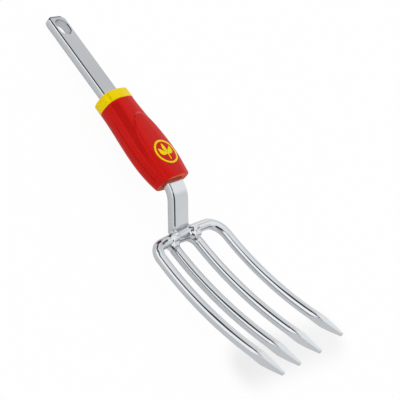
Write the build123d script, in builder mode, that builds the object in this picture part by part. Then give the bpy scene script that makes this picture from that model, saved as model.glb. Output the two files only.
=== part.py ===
from build123d import *

import os
from math import asin, atan2, copysign, cos, degrees, hypot, pi, radians, sin, tan

# Hand fork head: two bent rods and a flat bar welded together, with a moulded grip.
# It is modelled about the middle of the crossbar: X across the tines, Y from the tines to the tang,
# Z to the front. At the end every piece is laid on its back, as the fork lies on a bench.

# Rods, in millimetres and degrees
rod_diameter = 8.0

# The crossbar of the outer rod is bent by hand: its left arm droops and its right arm rises a little
left_outer_half_width = 38.4
left_outer_arm_angle = 5.5
left_outer_bend_radius = 9.5
left_outer_curve_radius = 258.0
left_outer_reach = 125.2
right_outer_half_width = 37.6
right_outer_arm_angle = -1.0
right_outer_bend_radius = 14.0
right_outer_curve_radius = 250.0
right_outer_reach = 121.4
outer_arm_place = 4.0
outer_splay = 1.1
outer_start_angle = 2.0

inner_half_width = 13.1
inner_arm_angle = 0.0
inner_bend_radius = 9.0
inner_curve_radius = 285.0
left_inner_reach = 124.3
right_inner_reach = 123.9
inner_arm_place = 2.0
inner_splay = 0.1
inner_start_angle = 3.0
inner_setback = 6.3

# Forged points of the tines
tip_length = 26.0
tip_shoulder = 6.0
tip_flat = 6.5
tip_corner_diameter = 8.4
tip_end_flat = 2.0
tip_start_flat = 8.2

# Flat bar: the tang, the bend and the neck
bar_width = 17.2
bar_thickness = 6.9
bar_crown = 0.75
bar_edge_radius = 0.7
tang_height = 17.0
tang_end = 186.4
tang_corner_radius = 5.0
neck_angle = 45.0
neck_setback = 6.1
neck_bend_radius = 19.0
neck_reach = 0.5
slot_length = 13.7
slot_width = 11.0
slot_margin = 4.0
anchor_hole_diameter = 7.0
anchor_distance = 36.0

# Moulded grip: distances along the bar from its mouth, and half sizes of its oval sections
mouth_place = 31.5
belly_distance = 24.0
waist_distance = 49.0
grip_length = 70.6
mouth_half_width = 13.6
mouth_half_depth = 10.2
mouth_squareness = 2.7
belly_half_width = 17.1
belly_half_depth = 11.0
belly_squareness = 3.0
waist_half_width = 15.4
waist_half_depth = 11.4
waist_squareness = 2.7
collar_half_width = 13.6
collar_half_depth = 11.5
collar_squareness = 2.6
oval_point_count = 16
mouth_tilt = 2.5
mouth_edge_radius = 1.8
mouth_pocket_depth = 13.0
mouth_clearance = 1.3
mouth_corner_radius = 1.5
bar_clearance = 0.15

# Raised panel on the front of the grip
panel_rise = 0.8
panel_overrun = 2.2
panel_mouth_half_width = 11.8
panel_belly_half_width = 13.2
panel_waist_half_width = 8.6
panel_top_distance = 57.5

# Groove along both sides of the grip
groove_width = 0.7
groove_depth = 0.45
groove_drop = 2.0
groove_start = 3.0
groove_length = 58.0

# Collar and ring
collar_length = 8.1
collar_wall = 2.6
collar_edge_radius = 0.8
collar_fit = 0.1
spigot_setback = 0.6
badge_distance = 19.6
badge_diameter = 20.0
badge_ring_width = 1.5
badge_seat_depth = 0.8
badge_proud = 0.25
badge_fit = 0.05

# Weld: the beads run on from the crossbar to the legs of the inner rod
weld_bead_radius = 4.8
weld_bead_drop = 2.1
left_weld_place = 14.0
left_weld_reach = 4.6
right_weld_place = 11.0
right_weld_reach = 3.0
weld_run_step = 2.6
neck_weld_radius = 3.2
neck_weld_drop = 2.3
neck_weld_reach = 3.8

# Longer than any piece that a cut goes through
cut_reach = 200.0

rod_radius = rod_diameter / 2
collar_place = mouth_place + grip_length
passage_width = bar_width + 2 * bar_clearance
passage_depth = bar_thickness + 2 * bar_clearance
slot_place = tang_end - slot_margin - slot_length / 2


# Points of one side of a bent rod: its arm, its bend, its long curve, and the plane of its forged point
def tine_route(shape, side, half_width, arm_angle, bend_radius, curve_radius, reach):
    splay, start_angle, setback, arm_place = shape
    start = radians(start_angle)
    droop = radians(arm_angle)
    turn = radians(90 - splay - arm_angle)
    across = Vector(side, 0, 0)
    along = Vector(0, -cos(start), sin(start))
    up = Vector(0, sin(start), cos(start))
    arm = across * cos(droop) + along * sin(droop)
    inwards = along * cos(droop) - across * sin(droop)
    bend_width = bend_radius * (cos(droop) * sin(turn) - sin(droop) * (1 - cos(turn)))
    bend_start = arm * ((half_width - bend_width) / cos(droop)) + Vector(0, 0, -setback)
    arm_start = arm * arm_place + Vector(0, 0, -setback)

    def on_bend(angle):
        return bend_start + arm * (bend_radius * sin(angle)) + inwards * (bend_radius * (1 - cos(angle)))

    heading = arm * cos(turn) + inwards * sin(turn)
    bend_end = on_bend(turn)

    def on_curve(angle):
        return bend_end + heading * (curve_radius * sin(angle)) + up * (curve_radius * (1 - cos(angle)))

    # The curve stops where a straight point of tip_length ends at the reach
    sine_share = -curve_radius * heading.Y - tip_length * up.Y
    cosine_share = -tip_length * heading.Y + curve_radius * up.Y
    goal = reach + bend_end.Y + curve_radius * up.Y
    curve_angle = asin(goal / hypot(sine_share, cosine_share)) - atan2(cosine_share, sine_share)
    direction = heading * cos(curve_angle) + up * sin(curve_angle)
    bend = [arm_start, bend_start, on_bend(turn / 2), bend_end]
    curve = [bend_end, on_curve(curve_angle / 2), on_curve(curve_angle)]
    front = up * cos(curve_angle) - heading * sin(curve_angle)
    tip_plane = Plane(origin=curve[2], x_dir=front.cross(direction), z_dir=direction)
    return bend, curve, tip_plane


outer_shape = (outer_splay, outer_start_angle, 0, outer_arm_place)
left_outer_side = (
    left_outer_half_width,
    left_outer_arm_angle,
    left_outer_bend_radius,
    left_outer_curve_radius,
    left_outer_reach,
)
right_outer_side = (
    right_outer_half_width,
    right_outer_arm_angle,
    right_outer_bend_radius,
    right_outer_curve_radius,
    right_outer_reach,
)
inner_shape = (inner_splay, inner_start_angle, inner_setback, inner_arm_place)
inner_side = (inner_half_width, inner_arm_angle, inner_bend_radius, inner_curve_radius)


# Forged point: the round rod swells, takes four flats and tapers to a small blunt square
def forged_tip(plane):
    with BuildPart() as tip:
        for distance, diameter in (
            (0, rod_diameter),
            (tip_shoulder, tip_corner_diameter),
            (tip_length, tip_corner_diameter),
        ):
            with BuildSketch(plane.offset(distance)):
                Circle(diameter / 2)
        loft(ruled=True)
        for distance, flat in ((0, tip_start_flat), (tip_shoulder, tip_flat), (tip_length, tip_end_flat)):
            with BuildSketch(plane.offset(distance)):
                Rectangle(flat, flat)
        loft(ruled=True, mode=Mode.INTERSECT)
    return tip.part


# One continuous rod from the left tip over the crossbar to the right tip
def bent_rod(shape, left_side, right_side):
    left_bend, left_curve, left_plane = tine_route(shape, -1, *left_side)
    right_bend, right_curve, right_plane = tine_route(shape, 1, *right_side)
    tips = [forged_tip(left_plane), forged_tip(right_plane)]
    with BuildPart() as rod:
        with BuildLine() as route:
            ThreePointArc(left_curve[2], left_curve[1], left_curve[0])
            ThreePointArc(left_bend[3], left_bend[2], left_bend[1])
            Line(left_bend[1], left_bend[0])
            if left_bend[0].Y == right_bend[0].Y:
                Line(left_bend[0], right_bend[0])
            else:
                TangentArc(left_bend[0], right_bend[0], tangent=left_bend[0] - left_bend[1])
            Line(right_bend[0], right_bend[1])
            ThreePointArc(*right_bend[1:])
            ThreePointArc(*right_curve)
        with BuildSketch(Plane(origin=left_plane.origin, z_dir=-left_plane.z_dir)):
            Circle(rod_radius)
        sweep(path=route.wire())
        add(tips)
    return rod.part


with BuildPart() as outer_tine_rod:
    add(bent_rod(outer_shape, left_outer_side, right_outer_side))

# The inner rod lies behind the crossbar and is set down into it by the weld
with BuildPart() as inner_tine_rod:
    add(bent_rod(inner_shape, (*inner_side, left_inner_reach), (*inner_side, right_inner_reach)))
    add(outer_tine_rod.part, mode=Mode.SUBTRACT)

# Rolled flat bar: flat front and back, and sides that bulge by the crown
bar_half = bar_thickness / 2
flat_half = bar_width / 2 - bar_crown

# The bar runs along Y as the tang, bends backwards and ends as the neck on the crossbar
neck = radians(neck_angle)
neck_corner = neck_setback / sin(neck) + tang_height / tan(neck)
neck_length = (tang_height + neck_setback * cos(neck)) / sin(neck) + neck_reach
bend_tangent = neck_bend_radius * tan(neck / 2)
bend_start = Vector(0, neck_corner + bend_tangent, tang_height)
bend_end = Vector(0, neck_corner - bend_tangent * cos(neck), tang_height - bend_tangent * sin(neck))
bend_middle = bend_start + Vector(0, -sin(neck / 2), cos(neck / 2) - 1) * neck_bend_radius
neck_end = Vector(0, neck_corner - neck_length * cos(neck), tang_height - neck_length * sin(neck))

with BuildPart() as tang_bar:
    with BuildLine() as bar_route:
        Line((0, tang_end, tang_height), bend_start)
        ThreePointArc(bend_start, bend_middle, bend_end)
        Line(bend_end, neck_end)
    with BuildSketch(Plane(origin=(0, tang_end, tang_height), x_dir=(1, 0, 0), z_dir=(0, -1, 0))) as bar_section:
        with BuildLine():
            right_side = ThreePointArc((flat_half, -bar_half), (bar_width / 2, 0), (flat_half, bar_half))
            left_side = ThreePointArc((-flat_half, bar_half), (-bar_width / 2, 0), (-flat_half, -bar_half))
            Line(right_side @ 1, left_side @ 0)
            Line(left_side @ 1, right_side @ 0)
        make_face()
        fillet(bar_section.vertices(), bar_edge_radius)
    sweep(path=bar_route.wire())
    with BuildSketch(Plane.XY.offset(tang_height)):
        RectangleRounded(bar_width, tang_end * 2, tang_corner_radius)
        with Locations((0, slot_place)):
            SlotOverall(slot_length, slot_width, rotation=90, mode=Mode.SUBTRACT)
        with Locations((0, mouth_place + anchor_distance)):
            Circle(anchor_hole_diameter / 2, mode=Mode.SUBTRACT)
    extrude(amount=cut_reach, both=True, mode=Mode.INTERSECT)
    add(outer_tine_rod.part, mode=Mode.SUBTRACT)
    add(inner_tine_rod.part, mode=Mode.SUBTRACT)


# Two drops of weld that run together in the corner between the crossbar and a leg of the inner rod
def weld_bead(side, place, reach):
    with BuildPart() as bead:
        with Locations(
            (side * place, -reach, -weld_bead_drop),
            (side * (place - weld_run_step), weld_run_step - reach, -weld_bead_drop),
        ):
            Sphere(weld_bead_radius)
        add(outer_tine_rod.part, mode=Mode.SUBTRACT)
        add(inner_tine_rod.part, mode=Mode.SUBTRACT)
        add(tang_bar.part, mode=Mode.SUBTRACT)
    return bead.part


with BuildPart() as left_weld_bead:
    add(weld_bead(-1, left_weld_place, left_weld_reach))

with BuildPart() as right_weld_bead:
    add(weld_bead(1, right_weld_place, right_weld_reach))


# A fillet of weld beside the neck's foot, where the bar meets the crossbar
def neck_weld(side, bead):
    with BuildPart() as fillet_weld:
        with Locations((side * bar_width / 2, neck_weld_reach, -neck_weld_drop)):
            Sphere(neck_weld_radius)
        add(outer_tine_rod.part, mode=Mode.SUBTRACT)
        add(inner_tine_rod.part, mode=Mode.SUBTRACT)
        add(tang_bar.part, mode=Mode.SUBTRACT)
        add(bead.part, mode=Mode.SUBTRACT)
    return fillet_weld.part


with BuildPart() as left_neck_weld:
    add(neck_weld(-1, left_weld_bead))

with BuildPart() as right_neck_weld:
    add(neck_weld(1, right_weld_bead))


# Points of an oval section: squareness 2 is an ellipse, and more is nearer to a rectangle
def oval_points(half_width, half_depth, squareness):
    points = []
    for step in range(oval_point_count):
        angle = 2 * pi * step / oval_point_count - pi / 2
        across = copysign(abs(cos(angle)) ** (2 / squareness), cos(angle))
        deep = copysign(abs(sin(angle)) ** (2 / squareness), sin(angle))
        points.append((half_width * across, half_depth * deep))
    return points


# An oval face across the bar: its own X is across the bar, and its own Y is to the front
def oval_face(place, tilt, half_width, half_depth, squareness):
    lean = radians(tilt)
    section = Plane(origin=(0, place, tang_height), x_dir=(-1, 0, 0), z_dir=(0, cos(lean), -sin(lean)))
    with BuildSketch(section) as sketch:
        with BuildLine():
            Spline(*oval_points(half_width, half_depth, squareness), periodic=True)
        make_face()
    return sketch.sketch


# The grip's outer form, grown or shrunk by an offset all round
def grip_form(offset_by):
    with BuildPart() as form:
        for place, tilt, half_width, half_depth, squareness in (
            (mouth_place, mouth_tilt, mouth_half_width, mouth_half_depth, mouth_squareness),
            (mouth_place + belly_distance, 0, belly_half_width, belly_half_depth, belly_squareness),
            (mouth_place + waist_distance, 0, waist_half_width, waist_half_depth, waist_squareness),
            (collar_place, 0, collar_half_width, collar_half_depth, collar_squareness),
        ):
            add(oval_face(place, tilt, half_width + offset_by, half_depth + offset_by, squareness))
        loft()
    return form.part


# The same form with the rim of its mouth rounded
def rounded_form(offset_by):
    with BuildPart() as form:
        add(grip_form(offset_by))
        fillet(form.faces().sort_by(Axis.Y)[0].edges(), mouth_edge_radius)
    return form.part


# A straight oval of the collar's section, grown or shrunk by an offset
def collar_form(offset_by, length):
    half_width = collar_half_width + offset_by
    half_depth = collar_half_depth + offset_by
    with BuildPart() as form:
        for place in (collar_place, collar_place + length):
            add(oval_face(place, 0, half_width, half_depth, collar_squareness))
        loft()
    return form.part


# Raised panel: an arch in plan that runs off the mouth, lifted off the grip by its rise
with BuildPart() as panel:
    with BuildSketch(Plane.XY.offset(tang_height)):
        with BuildLine():
            Spline(
                (panel_mouth_half_width, mouth_place - panel_overrun),
                (panel_belly_half_width, mouth_place + belly_distance),
                (panel_waist_half_width, mouth_place + waist_distance),
                (0, mouth_place + panel_top_distance),
                (-panel_waist_half_width, mouth_place + waist_distance),
                (-panel_belly_half_width, mouth_place + belly_distance),
                (-panel_mouth_half_width, mouth_place - panel_overrun),
            )
            Line(
                (-panel_mouth_half_width, mouth_place - panel_overrun),
                (panel_mouth_half_width, mouth_place - panel_overrun),
            )
        make_face()
    extrude(amount=cut_reach)
    add(rounded_form(panel_rise), mode=Mode.INTERSECT)

# Hollow behind the mouth, with room all round the bar where it starts to bend
with BuildPart() as mouth_pocket:
    with BuildSketch(Plane(origin=(0, mouth_place - panel_overrun, tang_height), x_dir=(-1, 0, 0), z_dir=(0, 1, 0))):
        RectangleRounded(
            bar_width + 2 * mouth_clearance,
            bar_thickness + 2 * mouth_clearance,
            mouth_corner_radius,
        )
    extrude(amount=panel_overrun + mouth_pocket_depth)

# Parting groove along both sides
with BuildPart() as side_groove:
    with Locations((0, mouth_place + groove_start + groove_length / 2, tang_height - groove_drop)):
        Box(cut_reach, groove_length, groove_width)
    add(grip_form(-groove_depth), mode=Mode.SUBTRACT)


# A ring round the badge's centre, cut off below by the floor of its seat
def badge_annulus(grow):
    with BuildPart() as annulus:
        with BuildSketch(Plane.XY.offset(tang_height)):
            with Locations((0, mouth_place + badge_distance)):
                Circle(badge_diameter / 2 + grow)
                Circle(badge_diameter / 2 - badge_ring_width - grow, mode=Mode.SUBTRACT)
        extrude(amount=cut_reach)
        add(grip_form(panel_rise - badge_seat_depth), mode=Mode.SUBTRACT)
    return annulus.part


with BuildPart() as badge_ring:
    add(badge_annulus(0))
    add(grip_form(panel_rise + badge_proud), mode=Mode.INTERSECT)

with BuildPart() as grip_body:
    add(rounded_form(0))
    add(panel.part)
    add(collar_form(-collar_wall - collar_fit, collar_length - spigot_setback))
    add(mouth_pocket.part, mode=Mode.SUBTRACT)
    add(side_groove.part, mode=Mode.SUBTRACT)
    add(badge_annulus(badge_fit), mode=Mode.SUBTRACT)
    with Locations((0, collar_place, tang_height)):
        Box(passage_width, cut_reach, passage_depth, mode=Mode.SUBTRACT)
    # The plastic runs through the hole in the bar and holds the grip on it
    with Locations((0, mouth_place + anchor_distance, tang_height)):
        Cylinder(anchor_hole_diameter / 2 - bar_clearance, passage_depth)

# Collar on the spigot, level with the grip
with BuildPart() as collar_ring:
    add(collar_form(0, collar_length))
    fillet(collar_ring.faces().sort_by(Axis.Y)[-1].edges(), collar_edge_radius)
    add(collar_form(-collar_wall, collar_length), mode=Mode.SUBTRACT)

# Laid on its back: the crossbar and the end of the tang touch the bench
lean_run = tang_end
lean_rise = tang_height - bar_thickness / 2 + inner_setback
lean = degrees(atan2(lean_rise, lean_run) + asin(rod_radius / hypot(lean_run, lean_rise)))

pieces = {
    "tang_bar": tang_bar,
    "outer_tine_rod": outer_tine_rod,
    "inner_tine_rod": inner_tine_rod,
    "left_weld_bead": left_weld_bead,
    "right_weld_bead": right_weld_bead,
    "left_neck_weld": left_neck_weld,
    "right_neck_weld": right_neck_weld,
    "grip_body": grip_body,
    "collar_ring": collar_ring,
    "badge_ring": badge_ring,
}
laid_down = {name: piece.part.rotate(Axis.X, -lean) for name, piece in pieces.items()}
box = Compound(list(laid_down.values())).bounding_box()
shift = Vector(-(box.min.X + box.max.X) / 2, -(box.min.Y + box.max.Y) / 2, -box.min.Z)

os.makedirs("parts", exist_ok=True)
for name, laid in laid_down.items():
    placed = laid.translate(shift)
    placed.label = name
    export_step(placed, f"parts/{name}.step")
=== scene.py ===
import math

import bmesh
import bpy
import numpy as np
from mathutils import Matrix, Vector, noise


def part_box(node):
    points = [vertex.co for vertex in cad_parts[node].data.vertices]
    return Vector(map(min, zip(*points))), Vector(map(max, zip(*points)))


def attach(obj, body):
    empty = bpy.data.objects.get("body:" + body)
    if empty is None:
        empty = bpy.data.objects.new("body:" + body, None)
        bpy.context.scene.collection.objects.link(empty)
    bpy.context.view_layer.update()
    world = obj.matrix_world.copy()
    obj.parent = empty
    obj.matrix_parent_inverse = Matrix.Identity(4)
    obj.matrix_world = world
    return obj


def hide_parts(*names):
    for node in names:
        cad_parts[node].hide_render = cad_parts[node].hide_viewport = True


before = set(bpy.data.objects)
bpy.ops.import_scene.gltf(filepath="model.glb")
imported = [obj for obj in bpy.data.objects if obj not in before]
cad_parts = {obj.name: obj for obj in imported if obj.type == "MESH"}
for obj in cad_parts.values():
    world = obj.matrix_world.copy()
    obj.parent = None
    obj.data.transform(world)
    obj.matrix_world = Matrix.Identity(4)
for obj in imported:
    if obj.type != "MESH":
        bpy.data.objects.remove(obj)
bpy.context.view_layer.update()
scene = bpy.context.scene
print("frame loaded:", len(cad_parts), "solids")

# The fork is shaped standing about the middle of its crossbar, in millimetres: X across the tines,
# Y towards the tang, Z to the front. layDown then turns it onto its back on the bench, in metres.
metre = 1000.0
sameSpot = 1e-5                                           # points closer than this are one
bench = {
    "tangHeight": 17.0,
    "tangEnd": 186.4,
    "barThickness": 6.9,
    "innerSetback": 6.3,
    "rodRadius": 4.0,
}
leanRise = bench["tangHeight"] - bench["barThickness"] / 2 + bench["innerSetback"]
leanReach = math.hypot(bench["tangEnd"], leanRise)
lean = math.atan2(leanRise, bench["tangEnd"]) + math.asin(bench["rodRadius"] / leanReach)
tangLow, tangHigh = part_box("tang_bar")
tangFront = bench["tangHeight"] + bench["barThickness"] / 2
tangTop = bench["tangEnd"] * math.cos(lean) + tangFront * math.sin(lean)
bedShift = Vector((
    (tangLow[0] + tangHigh[0]) / 2,
    tangHigh[1] - tangTop / metre,
    (bench["rodRadius"] + bench["innerSetback"] * math.cos(lean)) / metre,
))
layDown = Matrix.Translation(bedShift) @ Matrix.Rotation(-lean, 4, "X") @ Matrix.Scale(1 / metre, 4)


def addNode(tree, kind, settings=None, sockets=None):     # any node: its settings first, then its sockets
    node = tree.nodes.new(kind)
    for key, value in (settings or {}).items():
        setattr(node, key, value)
    for key, value in (sockets or {}).items():
        if isinstance(value, Wire):
            tree.links.new(value.socket, node.inputs[key])
        else:
            node.inputs[key].default_value = value
    return node


# One socket, so that node maths reads as maths
class Wire:
    def __init__(self, node, output=0):
        self.node = node
        self.socket = node.outputs[output]

    def add(self, kind, settings=None, sockets=None, output=0):
        return Wire(addNode(self.node.id_data, kind, settings, sockets), output)

    def math(self, operation, *others):
        return self.add("ShaderNodeMath", {"operation": operation}, dict(enumerate((self, *others))))

    def vector(self, operation, *others, output=0):
        sockets = dict(enumerate((self, *others)))
        return self.add("ShaderNodeVectorMath", {"operation": operation}, sockets, output)

    def __add__(self, other):
        return self.math("ADD", other)

    __radd__ = __add__

    def __sub__(self, other):
        return self.math("SUBTRACT", other)

    def __rsub__(self, other):
        return self.math("MULTIPLY_ADD", -1.0, other)

    def __mul__(self, other):
        return self.math("MULTIPLY", other)

    def __truediv__(self, other):
        return self.math("DIVIDE", other)

    def __pow__(self, other):
        return self.math("POWER", other)

    def __abs__(self):
        return self.math("ABSOLUTE")

    def least(self, other):
        return self.math("MINIMUM", other)

    def most(self, other):
        return self.math("MAXIMUM", other)

    # Kept between 0 and 1
    def held(self):
        return self.most(0.0).least(1.0)

    def towards(self, direction):                         # this length along a direction
        sockets = {"Vector": direction, "Scale": self}
        return self.add("ShaderNodeVectorMath", {"operation": "SCALE"}, sockets)

    def step(self, low, high, start=0.0, end=1.0):        # eases from start to end between low and high
        sockets = {"Value": self, "From Min": low, "From Max": high, "To Min": start, "To Max": end}
        return self.add("ShaderNodeMapRange", {"interpolation_type": "SMOOTHSTEP"}, sockets)

    def blend(self, first, second):                       # a colour between two, with this as the share
        first, second = (end if isinstance(end, Wire) else (*end, 1) for end in (first, second))
        sockets = {0: self, 6: first, 7: second}          # 6 and 7 are the node's two colours
        return self.add("ShaderNodeMix", {"data_type": "RGBA"}, sockets, 2)

    def clouds(self, scale, detail):
        return self.add("ShaderNodeTexNoise", {}, {"Vector": self, "Scale": scale, "Detail": detail})

    def bumps(self, strength, depth):
        return self.add("ShaderNodeBump", {}, {"Strength": strength, "Distance": depth, "Height": self})

    def fromLine(self, start, end):                       # millimetres from a line between two places
        start, reach = Vector(start) / metre, (Vector(end) - Vector(start)) / metre
        away = self.vector("SUBTRACT", start)
        along = away.vector("DOT_PRODUCT", reach, output="Value") / reach.length_squared
        apart = away.vector("SUBTRACT", along.held().towards(reach))
        return apart.vector("LENGTH", output="Value") * metre


# A closed shape becomes a piece of the part: outward faces, smooth up to a crease, laid down
def newPiece(name, shape, material, slot, *nodes, crease=None):
    bmesh.ops.remove_doubles(shape, verts=shape.verts, dist=sameSpot)
    bmesh.ops.recalc_face_normals(shape, faces=shape.faces)
    mesh = bpy.data.meshes.new(name)
    shape.to_mesh(mesh)
    shape.free()
    mesh.polygons.foreach_set("use_smooth", [True] * len(mesh.polygons))
    if crease:
        mesh.set_sharp_from_angle(angle=math.radians(crease))
    mesh.transform(layDown)
    mesh.materials.append(material)
    piece = bpy.data.objects.new(name, mesh)
    scene.collection.objects.link(piece)
    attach(piece, "root")
    if nodes:
        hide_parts(*nodes)


def joinRows(shape, near, far, closed=False):             # a strip of faces between two rows of points
    for at in range(len(near) if closed else len(near) - 1):
        after = (at + 1) % len(near)
        shape.faces.new((near[at], near[after], far[after], far[at]))


def tubeShape(rings):                                     # closed rings joined in a closed chain
    shape = bmesh.new()
    grid = [[shape.verts.new(point) for point in ring] for ring in rings]
    for near, far in zip(grid, grid[1:] + grid[:1]):
        joinRows(shape, near, far, True)
    return shape


# A passing object, only there to carry modifiers
def newHost(name, mesh):
    host = bpy.data.objects.new(name, mesh)
    scene.collection.objects.link(host)
    return host


def evaluatedMesh(host):                                  # the host with its modifiers as a plain mesh
    bpy.context.view_layer.update()
    evaluated = host.evaluated_get(bpy.context.evaluated_depsgraph_get())
    mesh = bpy.data.meshes.new_from_object(evaluated)
    bpy.data.objects.remove(host)
    return mesh


def easing(value):
    value = np.clip(value, 0, 1)
    return value * value * (3 - 2 * value)


# Sines and 1 - cosines along a quarter round
def rounding(*angles):
    turns = np.radians(angles)
    return zip(np.sin(turns), 1 - np.cos(turns))


# Finishes
chromeLook = {
    "light": (0.585, 0.605, 0.628),
    "dark": (0.540, 0.560, 0.582),
    "clouds": (22.0, 3.0),
    "tint": (0.3, 0.7),
    "roughness": 0.05,
    "smudge": 0.03,
    "smudgeEdge": (0.35, 0.75),
    "stretch": (90.0, 90.0, 90.0),
    "grain": (9.0, 4.0),
    "bump": (0.02, 0.0004),
    "rim": (0.12, 0.125, 0.13),                           # painted dark reflection on the rims of the bar's end and slot
    "scale": (0.07, 0.07, 0.075),                         # painted shade and dark reflections by the welds
    "weldShadeEdge": (0.3, 1.3),
    "weldShadeRagged": 1.5,
    "weldShadeLines": (),
}
# Lines of painted shade and dark reflection by the welds on the laid fork: two ends and a radius, in
# millimetres
weldShadeLines = (
    ((-31.4, -36.6, 14.8), (-26.0, -35.4, 14.7), 1.0),
    ((-34.8, -35.0, 13.9), (-31.8, -34.2, 14.0), 1.1),
    ((-21.6, -33.4, 14.2), (-16.2, -31.4, 13.3), 0.9),
    ((-21.4, -40.9, 11.6), (-19.6, -42.1, 10.8), 1.0),
    ((3.8, -31.8, 13.2), (5.4, -32.6, 14.0), 0.7),
    ((4.2, -35.0, 14.3), (6.2, -33.0, 14.0), 0.7),
    ((2.6, -37.8, 9.6), (6.8, -40.3, 9.2), 0.9),
)
rodLook = {**chromeLook, "weldShadeLines": weldShadeLines}
barLook = {**chromeLook, "roughness": 0.09, "stretch": (160.0, 6.0, 160.0)}
weldLook = {
    **rodLook,
    # Lighter than the rods' chrome: painted light that makes the weld beads show white
    "light": (0.655, 0.67, 0.69),
    "dark": (0.61, 0.625, 0.645),
    "roughness": 0.1,
    "smudge": 0.05,
    "bump": (0.05, 0.0004),
}
plasticLook = {
    "clouds": (45.0, 4.0),
    "tint": (0.3, 0.7),
    "roughness": 0.11,
    "scuff": 0.05,
    "scuffEdge": (0.35, 0.8),
    "grain": (1400.0, 2.0),
    "bump": (0.003, 0.0002),
    "gloss": 0.28,
    "mouth": (0.80, 0.13, 0.055),                         # the grip's cut end, painted paler as its highlight, and duller
    "mouthDull": 0.5,
}
redLook = {**plasticLook, "light": (0.59, 0.0125, 0.010), "dark": (0.575, 0.0115, 0.009), "sheen": 0.17}
yellowLook = {**plasticLook, "light": (0.88, 0.67, 0.002), "dark": (0.85, 0.645, 0.002), "sheen": 0.1}


def newMaterial(name):                                    # and a wire of the places on its object
    material = bpy.data.materials.new(name)
    material.use_nodes = True
    material.node_tree.nodes.clear()
    return material, Wire(addNode(material.node_tree, "ShaderNodeTexCoord"), "Object")


def showSurface(shader):
    addNode(shader.node.id_data, "ShaderNodeOutputMaterial", {}, {"Surface": shader})


def painted(place, label):                                # a share stored on the points of a mesh
    return place.add("ShaderNodeAttribute", {"attribute_name": label}, output="Fac")


def chromeFinish(name, look):
    material, place = newMaterial(name)
    grain = place.vector("MULTIPLY", look["stretch"]).clouds(*look["grain"])
    colour = place.clouds(*look["clouds"]).step(*look["tint"]).blend(look["dark"], look["light"])
    # Painted shade and dark reflections along lines by the welds
    for start, end, radius in look["weldShadeLines"]:
        apart = place.fromLine(start, end) / radius + (grain - 0.5) * look["weldShadeRagged"]
        colour = apart.step(*look["weldShadeEdge"]).blend(look["scale"], colour)
    showSurface(place.add("ShaderNodeBsdfPrincipled", {}, {
        # The bar's rims take a painted dark reflection
        "Base Color": painted(place, "rim").blend(colour, look["rim"]),
        "Metallic": 1.0,
        "Roughness": look["roughness"] + grain.step(*look["smudgeEdge"]) * look["smudge"],
        "Normal": grain.bumps(*look["bump"]),
    }))
    return material


def plasticFinish(name, look):
    material, place = newMaterial(name)
    cloud = place.clouds(*look["clouds"])
    colour = cloud.step(*look["tint"]).blend(look["dark"], look["light"])
    # The cut end's painted highlight
    mouth = painted(place, "mouth")
    scuffed = look["roughness"] + cloud.step(*look["scuffEdge"]) * look["scuff"]
    showSurface(place.add("ShaderNodeBsdfPrincipled", {}, {
        "Base Color": mouth.blend(colour, look["mouth"]),
        "Metallic": look["sheen"],
        "Roughness": scuffed + mouth * look["mouthDull"],
        "Normal": place.clouds(*look["grain"]).bumps(*look["bump"]),
        "Specular IOR Level": look["gloss"],
        "Specular Tint": (*look["light"], 1),
    }))
    return material


rodChrome = chromeFinish("rodChrome", rodLook)
barChrome = chromeFinish("barChrome", barLook)
weldChrome = chromeFinish("weldChrome", weldLook)
gripRed = plasticFinish("gripRed", redLook)
collarYellow = plasticFinish("collarYellow", yellowLook)
print("finishes ready")


# Rods: one polyline each, turned into a round bar with four-sided forged points by Geometry Nodes.
# rodShape holds the inputs of the node tree.
rodShape = {
    "radius": bench["rodRadius"],
    "tipLength": 26.0,
    "tipShoulder": 6.0,
    "startFlat": 8.2,
    "shoulderFlat": 6.5,
    "endFlat": 2.0,
    "cornerDiameter": 8.3,
    "fullness": 1.2,
    "endRounding": 0.7,
    "endBlunt": 0.4,
    "sides": 64,
}
rodLine = {
    "tipBow": 0.2,
    "tipCrowding": 1.5,
    "armLift": 0.25,
    "armSteps": 24,
    "bendSteps": 40,
    "curveSteps": 70,
    "tipSteps": 66,
    "crease": 32,
}
outerRod = {
    "squeeze": {"share": 0.3, "place": -4.0, "half": 7.0, "soft": 4.0},
    "splay": 1.1,
    "startAngle": 2.0,
    "setback": 0.0,
    "armPlace": 4.0,
    "left": {"halfWidth": 38.38, "armAngle": 5.5, "bendRadius": 9.5, "curveRadius": 258.0, "reach": 125.2},
    "right": {"halfWidth": 37.6, "armAngle": -1.0, "bendRadius": 14.0, "curveRadius": 250.0, "reach": 121.4},
}
innerRod = {
    "squeeze": {"share": 0.0, "place": 0.0, "half": 1.0, "soft": 1.0},
    "splay": 0.1,
    "startAngle": 3.0,
    "setback": bench["innerSetback"],
    "armPlace": 2.0,
    "left": {"halfWidth": 13.1, "armAngle": 0.0, "bendRadius": 9.0, "curveRadius": 285.0, "reach": 124.3},
    "right": {"halfWidth": 13.1, "armAngle": 0.0, "bendRadius": 9.0, "curveRadius": 285.0, "reach": 123.9},
}


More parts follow.
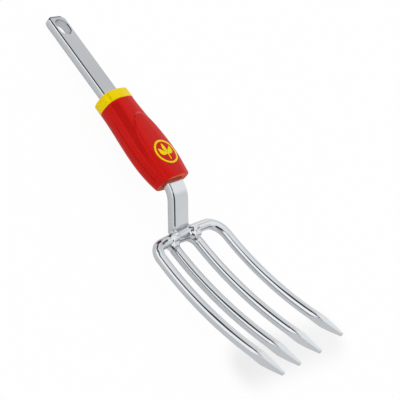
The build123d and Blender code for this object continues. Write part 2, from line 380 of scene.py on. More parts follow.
def tineRoute(rod, side, sign):                           # points and front directions, from crossbar to tip
    start, droop = math.radians(rod["startAngle"]), math.radians(side["armAngle"])
    turn = math.radians(90 - rod["splay"]) - droop
    across = Vector((sign, 0, 0))
    along = Vector((0, -math.cos(start), math.sin(start)))
    up = Vector((0, math.sin(start), math.cos(start)))
    back = Vector((0, 0, -rod["setback"]))
    arm = across * math.cos(droop) + along * math.sin(droop)
    inwards = along * math.cos(droop) - across * math.sin(droop)
    bendRadius, curveRadius, tip = side["bendRadius"], side["curveRadius"], rodShape["tipLength"]
    bendWidth = bendRadius * (math.cos(droop) * math.sin(turn) - math.sin(droop) * (1 - math.cos(turn)))
    armLength = (side["halfWidth"] - bendWidth) / math.cos(droop)
    heading = arm * math.cos(turn) + inwards * math.sin(turn)
    points, fronts = [], []
    for share in np.linspace(0, 1, rodLine["armSteps"]):  # the arm, blended to the middle of the crossbar
        run = share * armLength
        ease = min(run / rod["armPlace"], 1)
        lift = rod["armPlace"] * rodLine["armLift"] * (1 - ease) ** 2
        points.append(arm * run + back + inwards * lift * math.sin(droop))
        fronts.append(up)
    for share in np.linspace(0, 1, rodLine["bendSteps"])[1:]:
        angle = share * turn
        bow = arm * math.sin(angle) + inwards * (1 - math.cos(angle))
        points.append(arm * armLength + back + bow * bendRadius)
        fronts.append(up)
    bendEnd = points[-1]
    sineShare = -curveRadius * heading.y - tip * up.y
    cosineShare = -tip * heading.y + curveRadius * up.y
    goal = side["reach"] + bendEnd.y + curveRadius * up.y
    curveAngle = math.asin(goal / math.hypot(sineShare, cosineShare)) - math.atan2(cosineShare, sineShare)
    for share in np.linspace(0, 1, rodLine["curveSteps"])[1:]:
        angle = share * curveAngle
        ahead, rise = curveRadius * math.sin(angle), curveRadius * (1 - math.cos(angle))
        points.append(bendEnd + heading * ahead + up * rise)
        fronts.append(up * math.cos(angle) - heading * math.sin(angle))
    curveEnd, direction = points[-1], heading * math.cos(curveAngle) + up * math.sin(curveAngle)
    aside = (Vector((-1, 0, 0)) - fronts[-1]) / math.sqrt(2)
    for share in np.linspace(0, 1, rodLine["tipSteps"])[1:]:  # closer where the point is rounded off
        run = 1 - (1 - share) ** rodLine["tipCrowding"]
        bowed = aside * (rodLine["tipBow"] * math.sin(math.pi * run))
        points.append(curveEnd + direction * (tip * run) + bowed)
        fronts.append(fronts[-1])
    return points, fronts


def forgedRodTree():
    tree = bpy.data.node_groups.new("forgedRod", "GeometryNodeTree")
    face = tree.interface
    face.new_socket("Geometry", in_out="INPUT", socket_type="NodeSocketGeometry")
    for label, value in rodShape.items():
        kind = "NodeSocketInt" if isinstance(value, int) else "NodeSocketFloat"
        face.new_socket(label, in_out="INPUT", socket_type=kind)
    face.new_socket("Geometry", in_out="OUTPUT", socket_type="NodeSocketGeometry")
    entry = addNode(tree, "NodeGroupInput")

    def given(label):
        return Wire(entry, label)

    def named(label, kind):
        return given("Geometry").add("GeometryNodeInputNamedAttribute", {"data_type": kind}, {"Name": label})

    def keep(geometry, label, kind, value):
        settings = {"data_type": kind, "domain": "POINT"}
        sockets = {"Geometry": geometry, "Name": label, "Value": value}
        return geometry.add("GeometryNodeStoreNamedAttribute", settings, sockets)

    line = given("Geometry").add("GeometryNodeMeshToCurve", {}, {"Mesh": given("Geometry")})
    run = line.add("GeometryNodeSplineParameter", output="Length")
    whole = line.add("GeometryNodeSplineLength")
    line = keep(line, "tipRun", "FLOAT", given("tipLength") - run.least(whole - run))
    line = keep(line, "centre", "FLOAT_VECTOR", line.add("GeometryNodeInputPosition"))
    line = keep(line, "tangent", "FLOAT_VECTOR", line.add("GeometryNodeInputTangent"))
    circle = {"Resolution": given("sides"), "Radius": given("radius")}
    ring = line.add("GeometryNodeCurvePrimitiveCircle", {}, circle)
    angle = line.add("GeometryNodeInputIndex") * (2 * math.pi) / given("sides")
    ring = keep(ring, "turn", "FLOAT", angle)
    solid = line.add("GeometryNodeCurveToMesh", {}, {"Curve": line, "Profile Curve": ring, "Fill Caps": True})

    tipRun, turn = named("tipRun", "FLOAT"), named("turn", "FLOAT")
    cosine, sine = turn.math("COSINE"), turn.math("SINE")
    front = named("frontDir", "FLOAT_VECTOR")
    side = front.vector("CROSS_PRODUCT", named("tangent", "FLOAT_VECTOR")).vector("NORMALIZE")
    shoulder, length, rounded = given("tipShoulder"), given("tipLength"), given("endRounding")
    rise = (tipRun / shoulder).held()                     # 0 on the round bar, 1 on the point
    taper = ((tipRun - shoulder) / (length - shoulder)).held() ** given("fullness")
    flat = given("startFlat") + (given("shoulderFlat") - given("startFlat")) * rise
    flat = flat + (given("endFlat") - given("shoulderFlat")) * taper
    corner = given("radius") + (given("cornerDiameter") * 0.5 - given("radius")) * rise
    lastRun = ((tipRun - length + rounded) / rounded).held()
    blunt = (1 - lastRun * lastRun * given("endBlunt")).math("SQRT")
    widest = abs(cosine).most(abs(sine))
    reach = corner.least(flat * 0.5 / widest) * blunt * named("girth", "FLOAT")
    outwards = (cosine * reach).towards(side).vector("ADD", (sine * reach).towards(front))
    spot = named("centre", "FLOAT_VECTOR").vector("ADD", outwards)
    solid = solid.add("GeometryNodeSetPosition", {}, {"Geometry": solid, "Position": spot})
    addNode(tree, "NodeGroupOutput", {}, {"Geometry": solid})
    return tree


def forgedRod(name, rod, tree, *nodes):
    leftPoints, leftFronts = tineRoute(rod, rod["left"], -1)
    rightPoints, rightFronts = tineRoute(rod, rod["right"], 1)
    points, fronts = leftPoints[:0:-1] + rightPoints, leftFronts[:0:-1] + rightFronts
    mesh = bpy.data.meshes.new(name + "Line")
    mesh.from_pydata(points, [(at, at + 1) for at in range(len(points) - 1)], [])
    facing = mesh.attributes.new("frontDir", "FLOAT_VECTOR", "POINT")
    facing.data.foreach_set("vector", np.array(fronts).ravel())
    pressed = rod["squeeze"]                              # thinner under the neck, where the welds drew it in
    over = [(abs(point.x - pressed["place"]) - pressed["half"]) / pressed["soft"] for point in points]
    girth = [1 - pressed["share"] * (1 - min(max(value, 0), 1)) ** 2 for value in over]
    mesh.attributes.new("girth", "FLOAT", "POINT").data.foreach_set("value", girth)
    host = newHost(name + "Line", mesh)
    modifier = host.modifiers.new("forgedRod", "NODES")
    modifier.node_group = tree
    keys = {item.name: item.identifier for item in tree.interface.items_tree if item.in_out == "INPUT"}
    for label, value in rodShape.items():
        modifier[keys[label]] = value
    shape = bmesh.new()
    shape.from_mesh(evaluatedMesh(host))
    newPiece(name, shape, rodChrome, "rod_chrome", *nodes, crease=rodLine["crease"])


rodTree = forgedRodTree()
forgedRod("outerRod", outerRod, rodTree, "outer_tine_rod")
forgedRod("innerRod", innerRod, rodTree, "inner_tine_rod")
print("rods forged")


# Flat bar: drawn out straight (across, along from the tang's end, through), then bent along its route
bar = {
    "width": 17.2,
    "thickness": bench["barThickness"],
    "crown": 0.75,
    "bevels": ((48.0, 0.95), (62.0, 0.7)),                # angle from the front and width of each flat
    "endEdge": (2.2, 0.9),
    "cornerRadius": 4.2,
    "slotLength": 13.7,
    "slotWidth": 11.0,
    "slotMargin": 4.0,
    "slotEdge": (0.5, 0.5),
    "neckAngle": 45.0,
    "neckSetback": 6.1,
    "bendRadius": 19.0,
    "neckReach": 0.5,
    "endRun": 27.0,
    "edgeShares": (0, 0.25, 0.5, 0.75),
    "rimPoints": (1, 2, 3),
    "wallSteps": 14,
    "tangSteps": 30,
    "bendSteps": 34,
    "neckSteps": 14,
    "sideSteps": 16,
    "cornerSteps": 20,
    "endSteps": 6,
    "slotSteps": 64,
    "columns": 10,
    "crease": 10,
}


# Lengths of the bar's runs, and the way to bend it
def barRoute():
    neck = math.radians(bar["neckAngle"])
    high, radius = bench["tangHeight"], bar["bendRadius"]
    corner = bar["neckSetback"] / math.sin(neck) + high / math.tan(neck)
    tangent = radius * math.tan(neck / 2)
    straight = bench["tangEnd"] - corner - tangent
    bend = radius * neck
    foot = (high + bar["neckSetback"] * math.cos(neck)) / math.sin(neck) + bar["neckReach"] - tangent
    down = Vector((0, -math.cos(neck), -math.sin(neck)))

    def place(across, along, through):
        if along <= straight:
            return Vector((across, bench["tangEnd"] - along, high + through))
        angle = min((along - straight) / radius, neck)
        cosine, sine = math.cos(angle), math.sin(angle)
        spot = Vector((across, corner + tangent - radius * sine, high - radius * (1 - cosine)))
        spot += down * max(along - straight - bend, 0)
        return spot + Vector((0, -sine * through, cosine * through))

    return straight, bend, foot, place


# Edges of side, end and slot: (inset, through) from front to back
def barEdges():
    half, crown, steps = bar["thickness"] / 2, bar["crown"], bar["wallSteps"]
    bow = (half * half + crown * crown) / (2 * crown)
    flats = []
    for angle, width in bar["bevels"]:
        turn = math.radians(angle)
        flats.append(Vector((-math.cos(turn), math.sin(turn))) * width)
    start = math.asin((half - sum(flat.y for flat in flats)) / bow)
    crowned = []
    for angle in np.linspace(start, -start, steps):
        crowned.append(Vector((bow * math.cos(angle) - bow, bow * math.sin(angle))))
    middle = crowned[0] + flats[1]
    bevelled = [middle + flats[0], middle + flats[0] / 2, middle, crowned[0] + flats[1] / 2]

    def mirrored(edge, wall):
        return edge + wall + [Vector((spot.x, -spot.y)) for spot in reversed(edge)]

    def plain(wide, deep):
        edge = [Vector(((share - 1) * wide, half - share * deep)) for share in bar["edgeShares"]]
        wall = [Vector((0.0, through)) for through in np.linspace(half - deep, deep - half, steps)]
        return mirrored(edge, wall)

    return mirrored(bevelled, crowned), plain(*bar["endEdge"]), plain(*bar["slotEdge"])


def barOutline(straight, bend, foot):                     # places round the bar with their ways out
    half, radius, end = bar["width"] / 2, bar["cornerRadius"], bar["endRun"]
    alongs = [*np.linspace(end, straight, bar["tangSteps"])]
    alongs += [*np.linspace(straight, straight + bend, bar["bendSteps"])[1:]]
    alongs += [*np.linspace(straight + bend, straight + bend + foot, bar["neckSteps"])[1:]]
    sides = alongs[::-1] + [*np.linspace(end, radius, bar["sideSteps"])[1:-1]]
    outline = [(half, along, 1.0, 0.0, 0.0) for along in sides]
    for angle in np.linspace(0, math.pi / 2, bar["cornerSteps"]):  # the crowned side fades to the plain end
        cosine, sine = math.cos(angle), math.sin(angle)
        fade = easing(angle / (math.pi / 2))
        outline.append((half - radius * (1 - cosine), radius * (1 - sine), cosine, -sine, fade))
    ends = np.linspace(half - radius, 0, bar["endSteps"])[1:]
    outline += [(across, 0.0, 0.0, -1.0, 1.0) for across in ends]
    for across, along, outX, outY, fade in reversed(outline[:-1]):
        outline.append((-across, along, -outX, outY, fade))
    return outline, len(alongs)


def flatBar():
    straight, bend, foot, place = barRoute()
    sideEdge, endEdge, slotEdge = barEdges()
    outline, count = barOutline(straight, bend, foot)
    shape = bmesh.new()
    paintedRimLayer = shape.verts.layers.float.new("rim")        # 1 on the rims of the end and the slot, which take the painted dark reflection

    def wallRow(across, along, outX, outY, edge, share):
        row = []
        for inset, through in edge:
            row.append(shape.verts.new((across + outX * inset, along + outY * inset, through)))
        for at in bar["rimPoints"]:
            row[at][paintedRimLayer] = share
        return row

    grid = []
    for across, along, outX, outY, fade in outline:
        edge = [near.lerp(far, fade) for near, far in zip(sideEdge, endEdge)]
        grid.append(wallRow(across, along, outX, outY, edge, fade))
    for near, far in zip(grid, grid[1:]):
        joinRows(shape, near, far)

    middle = bar["slotMargin"] + bar["slotLength"] / 2
    slotRadius, reach = bar["slotWidth"] / 2, (bar["slotLength"] - bar["slotWidth"]) / 2
    rims = []
    for angle in np.linspace(0, 2 * math.pi, bar["slotSteps"], endpoint=False):
        outX, outY = math.cos(angle), math.sin(angle)
        along = middle + outY * slotRadius + math.copysign(reach, outY)
        rims.append(wallRow(outX * slotRadius, along, -outX, -outY, slotEdge, 1.0))
    for near, far in zip(rims, rims[1:] + rims[:1]):
        joinRows(shape, near, far)

    shares = [column / bar["columns"] for column in range(1, bar["columns"])]
    feet = []
    for level in (0, -1):                                 # front and back: strips, then the slotted end
        lanes = []
        for at in range(count):
            right, left = grid[at][level], grid[-1 - at][level]
            between = [shape.verts.new(right.co.lerp(left.co, share)) for share in shares]
            lanes.append([right, *between, left])
        for near, far in zip(lanes, lanes[1:]):
            joinRows(shape, near, far)
        border = [row[level] for row in grid[count - 1:len(grid) - count + 1]] + lanes[-1][-2:0:-1]
        edges = []
        for loop in (border, [rim[level] for rim in rims]):
            for near, far in zip(loop, loop[1:] + loop[:1]):
                edges.append(shape.edges.get((near, far)) or shape.edges.new((near, far)))
        bmesh.ops.triangle_fill(shape, use_beauty=True, edges=edges)
        feet.append(lanes[0])
    shape.faces.new(feet[0] + grid[-1][1:-1] + feet[1][::-1] + grid[0][-2:0:-1])
    for vert in shape.verts:
        vert.co = place(*vert.co)
    newPiece("flatBar", shape, barChrome, "bar_chrome", "tang_bar", crease=bar["crease"])


flatBar()
print("bar drawn and bent")


# Grip: oval rings along the bar with a raised front panel, grooved sides and a hollow mouth
grip = {
    "mouthPlace": 31.5,
    "length": 70.6,
    "knots": (0.0, 24.0, 49.0, 70.6),                     # mouth, belly, waist and collar, from the mouth
    "halfWidths": (13.6, 17.1, 15.4, 13.6),
    "halfDepths": (10.2, 11.0, 11.4, 11.5),
    "squareness": (2.7, 3.0, 2.7, 2.6),
    "mouthTilt": -4.0,
    "mouthShift": 0.7,
    "mouthRun": 24.0,
    "mouthRecess": 1.0,
    "mouthHole": (8.85, 3.75, 9.0),                       # half width, half depth and squareness
    "holeEdge": 0.25,
    "faceShares": (0.25, 0.5, 0.75),
    "rimRadius": 0.6,
    "rimAngles": (90, 78, 66, 54, 42, 30, 20, 10),
    "rimPale": 3,                                         # how many of these rings are as pale as the face, with its painted highlight
    "edgeAngles": (30, 60, 90),
    "pocketStops": (13.0, 8.0, 4.0, 2.0),
    "passage": (8.75, 3.6, 40.0),
    "passageStops": (50.0, 30.0, 13.0),
    "joint": 0.3,
    "spigot": ((0.0, 1.2), (0.0, 2.7), (3.0, 2.7), (7.1, 2.7), (7.5, 3.1)),  # (past the end, inset)
    "panelRise": 0.8,
    "panelSlope": 1.1,
    "panelSoft": 0.3,
    "panelFade": 3.0,
    "panelSteps": 24,
    "panelLine": ((-2.2, 11.8), (24.0, 13.2), (47.0, 9.2), (55.2, 0.0)),  # (from the mouth, half width)
    "facetAngle": 45.0,                                   # a flatter band beside the panel, from the front
    "facetDepth": 0.6,
    "facetFades": (8.0, 1.5),
    "facetFacing": (0.2, 0.5),
    "facetSharp": 5.0,
    "grooveDrop": -0.2,
    "grooveWidth": 1.1,
    "grooveDepth": 0.6,
    "grooveRun": (3.0, 61.0),
    "grooveFades": (2.0, 4.0),
    "grooveRays": (-1.1, -0.75, -0.6, -0.5, -0.3, 0.0, 0.3, 0.5, 0.6, 0.75, 1.1),
    "grooveOff": 9.0,                                     # far enough from a groove not to be cut
    "frontRays": 150,
    "backRays": 70,
    "rings": 118,
    "crease": 50,
}


def ramp(value, soft):                                    # straight from 0 to 1, eased only at its two ends
    value = np.clip(value, -soft, 1 + soft)
    low, high = (value + soft) ** 2 / (4 * soft), 1 - (1 + soft - value) ** 2 / (4 * soft)
    return np.where(value < soft, low, np.where(value > 1 - soft, high, value))


def throughKnots(values, at):                             # one smooth curve along the grip
    total = 0.0
    for own, value in zip(grip["knots"], values):
        share = 1.0
        for other in grip["knots"]:
            if other != own:
                share = share * (at - other) / (own - other)
        total = total + value * share
    return total


def gripSection(at):
    return tuple(throughKnots(grip[key], at) for key in ("halfWidths", "halfDepths", "squareness"))


def ovalReach(angles, wide, deep, square):                # from the middle to the border of a squared oval
    cosine, sine = np.abs(np.cos(angles)), np.abs(np.sin(angles))
    return ((cosine / wide) ** square + (sine / deep) ** square) ** (-1 / square)


def gripSpots(across, along, high):                       # places counted from the middle of the mouth
    return [Vector(spot) for spot in zip(across, grip["mouthPlace"] + along, bench["tangHeight"] + high)]


# The arch's border: (across, from the mouth)
def panelOutline():
    right = [np.array((wide, along)) for along, wide in grip["panelLine"]]
    flip = np.array((-1, 1))
    before = 2 * right[0] - right[1]
    points = [before, *right, *(spot * flip for spot in reversed(right[:-1])), before * flip]
    line = []
    for first, start, end, last in zip(points, points[1:], points[2:], points[3:]):
        for t in np.linspace(0, 1, grip["panelSteps"], endpoint=False):
            square = 2 * first - 5 * start + 4 * end - last
            cube = 3 * start - first - 3 * end + last
            line.append((2 * start + (end - first) * t + square * t ** 2 + cube * t ** 3) / 2)
    line.append(points[-2])
    return np.array(line)


panelBorder = panelOutline()


def panelLift(across, along):                             # how far the panel stands over the plain oval
    spots = np.stack([across, along], axis=-1)
    nearest = np.full(len(spots), np.inf)
    for start, run in zip(panelBorder[:-1], np.diff(panelBorder, axis=0)):
        share = np.clip(((spots - start) @ run) / (run @ run), 0, 1)
        nearest = np.minimum(nearest, np.hypot(*(spots - start - share[:, None] * run).T))
    rightSide = panelBorder[:len(panelBorder) // 2 + 1]
    inside = np.abs(across) < np.interp(along, rightSide[:, 1], rightSide[:, 0], right=-1)
    signed = np.where(inside, nearest, -nearest)
    return grip["panelRise"] * ramp(signed / grip["panelSlope"] + 0.5, grip["panelSoft"])


def frontHeight(across, along):                           # the panel's surface over the middle of the bar
    width, depth, square = gripSection(along)
    plain = depth * (1 - np.minimum(np.abs(across) / width, 1) ** square) ** (1 / square)
    return plain + panelLift(across, along)


def gripAngles(width, depth, square):                     # rays of a ring, closer at the two grooves
    drop, rays = grip["grooveDrop"], np.array(grip["grooveRays"])
    across = width * (1 - abs(drop / depth) ** square) ** (1 / square)
    right = math.atan2(-drop, across) + rays / across
    left = math.pi - right[::-1]
    front = np.linspace(right[-1], left[0], grip["frontRays"])[1:-1]
    back = np.linspace(left[-1], right[0] + 2 * math.pi, grip["backRays"])[1:-1]
    plain = [np.full(len(run), grip["grooveOff"]) for run in (front, back)]
    return np.concatenate([right, front, left, back]), np.concatenate([rays, plain[0], rays, plain[1]])


def ovalRing(at, inset, plain=False):                     # one ring of the grip, inset from its outer form
    width, depth, square = gripSection(at)
    angles, groove = gripAngles(width, depth, square)
    width, depth = width - inset, depth - inset
    cosine, sine = np.cos(angles), np.sin(angles)
    reach = ovalReach(angles, width, depth, square)
    if plain:
        return reach * cosine, reach * sine
    power = square / (square - 1)
    facet = math.radians(grip["facetAngle"])
    facetX, facetZ = math.sin(facet), math.cos(facet)
    support = ((width * facetX) ** power + (depth * facetZ) ** power) ** (1 / power)
    fadeIn, fadeOut = grip["facetFades"]
    cut = grip["facetDepth"] * easing(at / fadeIn) * easing((grip["length"] - at) / fadeOut)
    facing = np.abs(cosine) * facetX + sine * facetZ
    least, enough = grip["facetFacing"]
    plane = (support - cut) / np.maximum(facing, least)
    trimmed = reach - np.logaddexp(0, grip["facetSharp"] * (reach - plane)) / grip["facetSharp"]
    reach = np.where(facing > enough, trimmed, reach)
    first, last = grip["grooveRun"]
    fadeIn, fadeOut = grip["grooveFades"]
    fade = easing((at - first) / fadeIn) * easing((last - at) / fadeOut)
    hollow = np.sqrt(np.clip(1 - (groove / (grip["grooveWidth"] / 2)) ** 2, 0, 1))
    reach = reach - grip["grooveDepth"] * hollow * fade
    across, high = reach * cosine, reach * sine
    lift = panelLift(across, np.full(len(across), at)) * easing(sine * grip["panelFade"])
    return across, high + lift


def ringPoints(across, high, at):                         # towards the mouth a ring leans and shifts inwards
    tilt = math.tan(math.radians(grip["mouthTilt"]))
    share = 1 - easing(at / grip["mouthRun"])
    return gripSpots(across, at + (grip["mouthShift"] + tilt * high) * share, high)


def holeRing(at, wide, deep, square):                     # a squared oval on the same rays as the outer rings
    angles = gripAngles(*gripSection(min(at, grip["length"])))[0]
    reach = ovalReach(angles, wide, deep, square)
    return ringPoints(reach * np.cos(angles), reach * np.sin(angles), at)


def gripBody():
    rim, length, joint, edge = (grip[key] for key in ("rimRadius", "length", "joint", "holeEdge"))
    rings = []

    def outerRing(at, inset):
        rings.append(ringPoints(*ovalRing(at, inset), at))

    for at in np.linspace(rim, length - joint, grip["rings"]):
        outerRing(at, 0)
    for sine, inset in rounding(*grip["edgeAngles"]):     # small rounding at the joint to the collar
        outerRing(length - joint + joint * sine, joint * inset)
    for past, inset in grip["spigot"]:
        rings.append(ringPoints(*ovalRing(length, inset, True), length + past))
    for at in (length + grip["spigot"][-1][0], *grip["passageStops"]):  # down the passage round the bar
        rings.append(holeRing(at, *grip["passage"]))
    sunk = grip["mouthRecess"]
    wide, deep, square = grip["mouthHole"]
    for at in (*grip["pocketStops"], sunk + edge):
        rings.append(holeRing(at, wide, deep, square))
    faceStart = len(rings)
    for sine, inset in rounding(*grip["edgeAngles"]):     # rounded edge of the hole
        rings.append(holeRing(sunk + edge * (1 - sine), wide + edge * inset, deep + edge * inset, square))
    inner, border = rings[-1], ringPoints(*ovalRing(0.0, rim), 0.0)
    for share in grip["faceShares"]:
        rings.append([near.lerp(far, share) for near, far in zip(inner, border)])
    faceEnd = len(rings) + grip["rimPale"]
    for sine, inset in rounding(*grip["rimAngles"]):      # rounded rim of the mouth
        outerRing(rim * (1 - sine), rim * inset)
    shape = tubeShape(rings)
    mouthHighlightLayer = shape.verts.layers.float.new("mouth")    # 1 on the face of the mouth, which takes the painted highlight
    shape.verts.ensure_lookup_table()
    for vert in shape.verts[faceStart * len(inner):faceEnd * len(inner)]:
        vert[mouthHighlightLayer] = 1.0
    newPiece("gripBody", shape, gripRed, "grip_red", "grip_body", crease=grip["crease"])


# Collar: a ring of the grip's end section, slid over the peg
collar = {
    "length": 8.1,
    "wall": 2.6,
    "gap": 0.04,
    "joint": 0.3,
    "jointAngles": (30, 60, 90),
    "edge": 0.8,
    "edgeAngles": (15, 30, 45, 60, 75, 90),
    "side": 0.5,                                          # where the straight side starts
    "sideRings": 10,
    "boreEdge": 0.4,
    "boreRound": 0.12,
    "points": 192,
    "crease": 50,
}


def collarRing():
    length, wall, gap, joint, edge = (collar[key] for key in ("length", "wall", "gap", "joint", "edge"))
    boreEdge, boreRound = collar["boreEdge"], collar["boreRound"]
    steps = [(gap, wall), (gap, wall / 2), (gap, joint)]
    for sine, inset in rounding(*collar["jointAngles"]):
        steps.append((gap + joint * inset, joint * (1 - sine)))
    steps += [(at, 0.0) for at in np.linspace(collar["side"], length - edge, collar["sideRings"])]
    for sine, inset in rounding(*collar["edgeAngles"]):
        steps.append((length - edge * (1 - sine), edge * inset))
    steps += [(length, wall - boreEdge), (length - boreRound, wall - boreRound)]
    steps += [(length - boreEdge, wall), (length / 2, wall)]
    width, depth, square = gripSection(grip["length"])
    angles = np.linspace(0, 2 * math.pi, collar["points"], endpoint=False)
    rings = []
    for at, inset in steps:
        reach = ovalReach(angles, width - inset, depth - inset, square)
        along = np.full(len(angles), grip["length"] + at)
        rings.append(gripSpots(reach * np.cos(angles), along, reach * np.sin(angles)))
    shape = tubeShape(rings)
    newPiece("collarRing", shape, collarYellow, "collar_yellow", "collar_ring", crease=collar["crease"])


# Badge: a plain ring let into the panel, with a sprout inside it
badge = {
    "place": 19.6,
    "radius": 10.0,
    "width": 1.5,
    "edge": ((0.0, -0.5), (0.0, 0.05), (0.06, 0.17), (0.22, 0.25), (0.5, 0.28)),  # (inset, height)
    "points": 160,
    "crease": 50,
}
sprout = {
    # leaves: where they start and end, how they bow, how wide
    "leaves": (
        ((0.2, -1.6), (6.0, 3.6), 1.5, 2.3),
        ((-0.2, -1.6), (-6.0, 3.6), -1.5, 2.3),
        ((0.0, -0.6), (0.0, 6.9), 0.0, 1.75),
    ),
    "stem": ((0.0, -6.6), (0.0, -0.9), 0.35, 0.62),
    "stemTaper": 0.35,
    "root": 0.06,
    "fullness": 0.75,
    "proud": 0.3,
    "sunk": -0.3,
    "veinDepth": 0.1,
    "veinWidth": 0.16,
    "rows": 26,
    "columns": 13,
}


def badgeSpots(across, along, high):                      # points over the panel, from the badge's middle
    along = along + badge["place"]
    return gripSpots(across, along, frontHeight(across, along) + high)


def badgeRing():
    outer, inner = badge["radius"], badge["radius"] - badge["width"]
    profile = [(inner + inset, high) for inset, high in badge["edge"]]
    profile += [(outer - inset, high) for inset, high in reversed(badge["edge"])]
    turns = np.linspace(0, 2 * math.pi, badge["points"], endpoint=False)
    loops = [badgeSpots(radius * np.cos(turns), radius * np.sin(turns), high) for radius, high in profile]
    shape = tubeShape(loops)
    newPiece("badgeRing", shape, collarYellow, "badge_yellow", "badge_ring", crease=badge["crease"])


def sproutLeaf(shape, start, end, bow, width, stem):      # a domed leaf, or the stem, that lies on the panel
    start, end = Vector(start), Vector(end)
    run = end - start
    aside = Vector((-run.y, run.x)).normalized()
    shares = np.linspace(-1, 1, sprout["columns"])
    dome = sprout["proud"] * np.sqrt(1 - shares ** 4)
    if not stem:
        dome = dome - sprout["veinDepth"] * np.exp(-(shares / sprout["veinWidth"]) ** 2)
    dome[[0, -1]] = sprout["sunk"]
    rows = []
    for t in np.linspace(0, 1, sprout["rows"]):
        middle = start + run * t + aside * (-bow * 4 * t * (1 - t))
        if stem:
            spread = width * (1 - sprout["stemTaper"] * t) * shares
        else:
            swell = math.sin(math.pi * min(t * (1 - sprout["root"]) + sprout["root"], 1))
            spread = width * swell ** sprout["fullness"] * shares
        spots = badgeSpots(middle.x + aside.x * spread, middle.y + aside.y * spread, dome)
        rows.append([shape.verts.new(spot) for spot in spots])
    for near, far in zip(rows, rows[1:]):
        joinRows(shape, near, far)
        shape.faces.new((near[0], far[0], far[-1], near[-1]))
    shape.faces.new(rows[0])
    shape.faces.new(rows[-1])


def badgeSprout():
    shape = bmesh.new()
    for leaf in sprout["leaves"]:
        sproutLeaf(shape, *leaf, False)
    sproutLeaf(shape, *sprout["stem"], True)
    newPiece("badgeSprout", shape, collarYellow, "badge_yellow", crease=badge["crease"])


gripBody()
collarRing()
badgeRing()
badgeSprout()
print("grip moulded")


# Welds: drops that have run together, remeshed into one skin and roughened a little
weld = {
    "fineness": 3,
    "step": 1.4,
    "voxel": 0.3,
    "relax": 0.5,
    "smooth": 14,
    "ripple": 0.22,
    "rippleSize": 0.24,
    # runs of drops: two ends, and the radius at each
    "drops": {
        "leftWeldBead": ("left_weld_bead", (
            ((-19.6, -5.2, -1.4), (-15.0, -4.5, -1.7), 3.9, 4.0),
            ((-18.6, -1.9, 1.3), (-13.5, -1.4, 1.3), 3.8, 3.7))),
        "rightWeldBead": ("right_weld_bead", (
            ((10.2, -2.8, -0.6), (5.4, -2.5, 0.2), 4.4, 4.1),
            ((9.6, -4.2, -2.0), (6.6, -3.8, -1.6), 3.3, 3.2),
            ((12.0, -0.6, 0.3), (8.0, -0.5, 0.6), 3.8, 3.8))),
        "leftNeckWeld": ("left_neck_weld", (
            ((-8.8, 4.2, -1.8), (-9.8, 3.0, 0.0), 2.2, 1.8),
            ((-9.8, 3.0, 0.0), (-12.0, 1.6, 1.0), 1.8, 2.6))),
        "rightNeckWeld": ("right_neck_weld", (
            ((8.8, 4.2, -1.8), (9.4, 3.0, -0.6), 2.0, 1.6),)),
    },
}


def weldLump(name, node, runs):
    shape = bmesh.new()
    for start, end, near, far in runs:
        start, end = Vector(start), Vector(end)
        for share in np.linspace(0, 1, 1 + math.ceil((end - start).length / weld["step"])):
            drop = Matrix.Translation(start.lerp(end, share))
            size = near + (far - near) * share
            bmesh.ops.create_icosphere(shape, subdivisions=weld["fineness"], radius=size, matrix=drop)
    mesh = bpy.data.meshes.new(name + "Drops")
    shape.to_mesh(mesh)
    shape.free()
    host = newHost(name + "Drops", mesh)
    skin = host.modifiers.new("skin", "REMESH")
    skin.mode = "VOXEL"
    skin.voxel_size = weld["voxel"]
    relax = host.modifiers.new("relax", "SMOOTH")
    relax.factor = weld["relax"]
    relax.iterations = weld["smooth"]
    mesh = evaluatedMesh(host)
    for vert in mesh.vertices:
        vert.co += vert.normal * weld["ripple"] * noise.noise(vert.co * weld["rippleSize"])
    shape = bmesh.new()
    shape.from_mesh(mesh)
    newPiece(name, shape, weldChrome, "weld_chrome", node)


for label, (node, runs) in weld["drops"].items():
    weldLump(label, node, runs)
print("welds run")


# Camera: where the photograph was taken from, worked out from the rods, the bar and the slot
view = {
    "focal": 1200.65,                                     # in pixels of a 400 pixel frame
    "frame": 400.0,
    "sensor": 36.0,
    "right": (0.59931, -0.57352, 0.55848),
    "down": (-0.19816, -0.78222, -0.59065),
    "ahead": (0.77561, 0.24331, -0.58244),
    "offset": (-10.788, 22.610, 846.267),
    "aside": 0.5,                                         # the fit counts from the middle of the first pixel
    "below": 0.2,
    "nearest": 0.01,
}
cameraData = bpy.data.cameras.new("camera")
cameraData.sensor_width = view["sensor"]
cameraData.lens = view["focal"] * view["sensor"] / view["frame"]
cameraData.shift_x = -view["aside"] / view["frame"]
cameraData.shift_y = view["below"] / view["frame"]
cameraData.clip_start = view["nearest"]
camera = bpy.data.objects.new("camera", cameraData)
right, down, ahead = (Vector(view[key]) for key in ("right", "down", "ahead"))
spot = -(right * view["offset"][0] + down * view["offset"][1] + ahead * view["offset"][2])
turned = Matrix.Rotation(-lean, 3, "X")
axes = Matrix((turned @ right, turned @ -down, turned @ -ahead)).transposed()
camera.matrix_world = Matrix.Translation(layDown @ spot) @ axes.to_quaternion().to_matrix().to_4x4()
scene.collection.objects.link(camera)
scene.camera = camera

# Floor: pale and plain, all but white to the camera. A band past the tips shows more of the floor's own soft
# shade, and its placed shape makes a painted shadow there.
floor = {
    "half": 3.0,
    "white": 0.96,                                        # share of plain white that the camera sees
    "whiteTips": 0.4,                                     # and in the band along the line below, placed as a painted shadow past the tips
    "tips": ((0.0, -136.0, 0.0), (96.0, -145.0, 0.0)),
    "tipsReach": (4.0, 27.0),
    "whiteGloss": 0.43,                                   # share that reflections see
    "paint": (0.91, 0.91, 0.91),
    "paintDark": (0.89, 0.89, 0.89),
    "clouds": (3.0, 2.0),
}
plainWhite = {"Color": (1, 1, 1, 1), "Strength": 1.0}


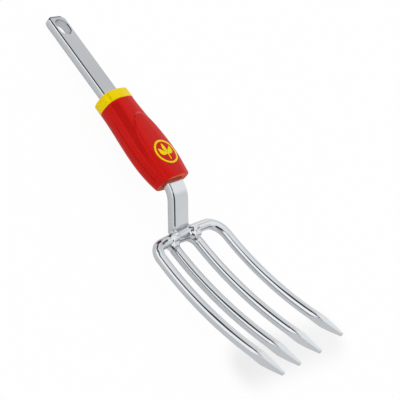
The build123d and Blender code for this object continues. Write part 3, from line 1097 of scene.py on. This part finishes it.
def layFloor():
    material, place = newMaterial("floorWhite")
    colour = place.clouds(*floor["clouds"]).blend(floor["paintDark"], floor["paint"])
    paint = place.add("ShaderNodeBsdfDiffuse", {}, {"Color": colour})
    glow = place.add("ShaderNodeEmission", {}, plainWhite)
    path = place.add("ShaderNodeLightPath").node
    # Less white in a placed band past the tips: painted shadow over the floor's real shade
    share = place.fromLine(*floor["tips"]).step(*floor["tipsReach"], floor["whiteTips"], floor["white"])
    seen = Wire(path, "Is Camera Ray") * share + Wire(path, "Is Glossy Ray") * floor["whiteGloss"]
    showSurface(place.add("ShaderNodeMixShader", {}, {0: seen, 1: paint, 2: glow}))
    half = floor["half"]
    corners = [(-half, -half, 0), (half, -half, 0), (half, half, 0), (-half, half, 0)]
    mesh = bpy.data.meshes.new("floor")
    mesh.from_pydata(corners, [], [(0, 1, 2, 3)])
    mesh.materials.append(material)
    sheet = bpy.data.objects.new("floor", mesh)
    scene.collection.objects.link(sheet)


layFloor()

# Studio: bright panels to the left, to the right and overhead, and the dark gaps that chrome shows as lines.
# Places run round from 0 at the right, past the tang at 90, to 180 at the left; heights are in degrees.
studio = {
    "plain": 1.0,
    "left": {"place": 150.0, "half": 40.0, "soft": 10.0, "extra": 0.48},
    "right": {"place": 32.0, "half": 19.0, "soft": 5.0, "extra": 0.25},
    "rightHeight": {"place": 18.0, "half": 9.0, "soft": 2.0},
    "overhead": {"level": 1.18, "edge": 46.0, "soft": 2.5},
    "dip": {"place": -25.0, "half": 40.0, "soft": 10.0, "drop": 11.0, "extra": 0.1},  # where it hangs lower
    "gapDark": 0.95,
    # each gap: place, height, half width, half height, softness and depth
    "gaps": (
        (125.0, 40.0, 28.0, 9.0, 1.5, 1.0),               # between the left panel and the one overhead
        (172.0, 41.0, 22.0, 6.0, 1.5, 0.75),
        (-125.0, 34.0, 38.0, 17.0, 3.0, 1.0),             # round the camera
        (88.0, 22.0, 20.0, 9.0, 2.0, 1.0),                # past the tang
        (112.0, 28.0, 7.0, 10.0, 2.0, 1.0),
        (3.0, 30.5, 11.0, 2.5, 1.0, 0.8),                 # to the right
        (31.0, 37.0, 10.0, 9.0, 2.0, 0.15),
        (22.0, 14.0, 3.0, 6.0, 2.0, 0.5),
    ),
}


def lightStudio():
    world = bpy.data.worlds.new("studio")
    scene.world = world
    world.use_nodes = True
    tree = world.node_tree
    tree.nodes.clear()
    ray = Wire(addNode(tree, "ShaderNodeTexCoord"), "Generated")
    parts = ray.add("ShaderNodeSeparateXYZ", {}, {"Vector": ray}).node
    x, y, z = (Wire(parts, label) for label in "XYZ")
    degrees = 180 / math.pi
    high = z.math("ARCSINE") * degrees
    turn = y.math("ARCTAN2", x) * degrees

    def near(distance, half, soft):                       # 1 within half of a place, with a soft edge
        return abs(distance).step(half + soft, half - soft)

    def around(place, half, soft):
        return near((turn - place).math("WRAP", 180.0, -180.0), half, soft)

    left, right, tall = studio["left"], studio["right"], studio["rightHeight"]
    overhead, dip = studio["overhead"], studio["dip"]
    side = studio["plain"] + around(left["place"], left["half"], left["soft"]) * left["extra"]
    rightPanel = around(right["place"], right["half"], right["soft"])
    side = side + rightPanel * near(high - tall["place"], tall["half"], tall["soft"]) * right["extra"]
    dipped = around(dip["place"], dip["half"], dip["soft"])
    top = (high - overhead["edge"] + dipped * dip["drop"]).step(-overhead["soft"], overhead["soft"])
    light = side + (overhead["level"] + dipped * dip["extra"] - side) * top
    shades = []
    for place, height, halfWidth, halfHeight, soft, depth in studio["gaps"]:
        shades.append(around(place, halfWidth, 2 * soft) * near(high - height, halfHeight, soft) * depth)
    dark = shades[0]
    for shade in shades[1:]:
        dark = dark.most(shade)
    strength = light * (1 - dark * studio["gapDark"])
    lit = ray.add("ShaderNodeBackground", {}, {"Color": plainWhite["Color"], "Strength": strength})
    white = ray.add("ShaderNodeBackground", {}, plainWhite)
    seen = ray.add("ShaderNodeLightPath", output="Is Camera Ray")
    mixed = ray.add("ShaderNodeMixShader", {}, {0: seen, 1: lit, 2: white})
    addNode(tree, "ShaderNodeOutputWorld", {}, {"Surface": mixed})


lightStudio()
scene.view_settings.view_transform = "Standard"
print("camera, floor and light set")
